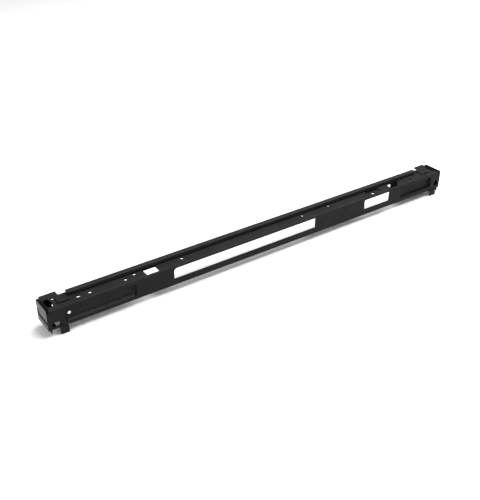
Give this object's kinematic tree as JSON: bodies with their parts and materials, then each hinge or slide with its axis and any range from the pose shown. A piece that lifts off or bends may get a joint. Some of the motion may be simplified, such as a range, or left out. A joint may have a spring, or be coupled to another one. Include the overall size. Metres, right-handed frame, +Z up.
{
  "type": "cabinet drawer slide",
  "caption": "Long folded sheet-steel slide beam with boxed, hooked ends, web windows and a ball-borne runner along its top flange.",
  "frame": {"origin": "lower front corner of the front end, where the web's outer face, its lower edge and the end's outer face meet, just above the front hook", "axes": "+X along the beam from the front end to the rear end, +Y from the web towards the back of the flange, +Z up; the runner pulls out towards -X"},
  "size_m": [0.6, 0.0344, 0.0374],
  "materials": {
    "coated_sheet": "satin black powder coat on folded sheet steel",
    "coated_end": "satin grey coat on the end pads",
    "runner_coat": "smooth black coat on the rolled runner",
    "bright_steel": "ground bearing and spring steel",
    "zinc_steel": "dark zinc plated rivets and pins",
    "black_plastic": "moulded black nylon",
    "black_rubber": "soft black rubber"
  },
  "bodies": {
    "carrier": {"beam": "coated_sheet", "front_end_plate": "coated_sheet", "rear_end_plate": "coated_sheet", "front_upper_pad": "coated_end", "front_lower_pad": "coated_end", "rear_upper_pad": "coated_end", "rear_lower_pad": "coated_end", "front_hook_bracket": "coated_sheet", "rear_hook_bracket": "coated_sheet", "bracket_rivets": "zinc_steel", "front_backing_plate": "coated_sheet", "rear_pocket_tray": "coated_sheet", "rear_back_plate": "coated_sheet", "rear_detent_pad": "black_plastic", "guide_rail": "runner_coat", "rail_rivets": "zinc_steel", "front_bumper": "black_rubber", "front_latch_housing": "coated_sheet", "rear_latch_housing": "coated_sheet", "front_latch_pin": "zinc_steel", "rear_latch_pin": "zinc_steel", "front_latch_spring": "bright_steel", "rear_latch_spring": "bright_steel"},
    "runner": {"drawer_runner": "runner_coat", "runner_nose_cap": "black_plastic", "runner_rear_stops": "black_plastic"},
    "retainer": {"ball_cage": "zinc_steel", "bearing_balls": "bright_steel"},
    "front_latch": {"front_latch_lever": "coated_sheet"},
    "rear_latch": {"rear_latch_lever": "coated_sheet"}
  },
  "joints": [
    {"name": "runner_slide", "type": "slide", "parent": "carrier", "child": "runner", "axis": [-1, 0, 0], "range_m": [0, 0.39]},
    {"name": "retainer_slide", "type": "slide", "parent": "carrier", "child": "retainer", "axis": [-1, 0, 0], "range_m": [0, 0.195]},
    {"name": "front_latch_press", "type": "hinge", "parent": "carrier", "child": "front_latch", "pos_m": [0.0296, 0.0151, 0.0214], "axis": [0, -1, 0], "range_deg": [0, 5], "stiffness_Nm_per_rad": 0.08, "springref_deg": -8.59, "deforming": ["front_latch_spring"]},
    {"name": "rear_latch_press", "type": "hinge", "parent": "carrier", "child": "rear_latch", "pos_m": [0.583, 0.0151, 0.0214], "axis": [0, -1, 0], "range_deg": [0, 5], "stiffness_Nm_per_rad": 0.08, "springref_deg": -8.59, "deforming": ["rear_latch_spring"]}
  ],
  "couplings": [
    {"joint": "retainer_slide", "follows": "runner_slide", "ratio": 0.5}
  ]
}
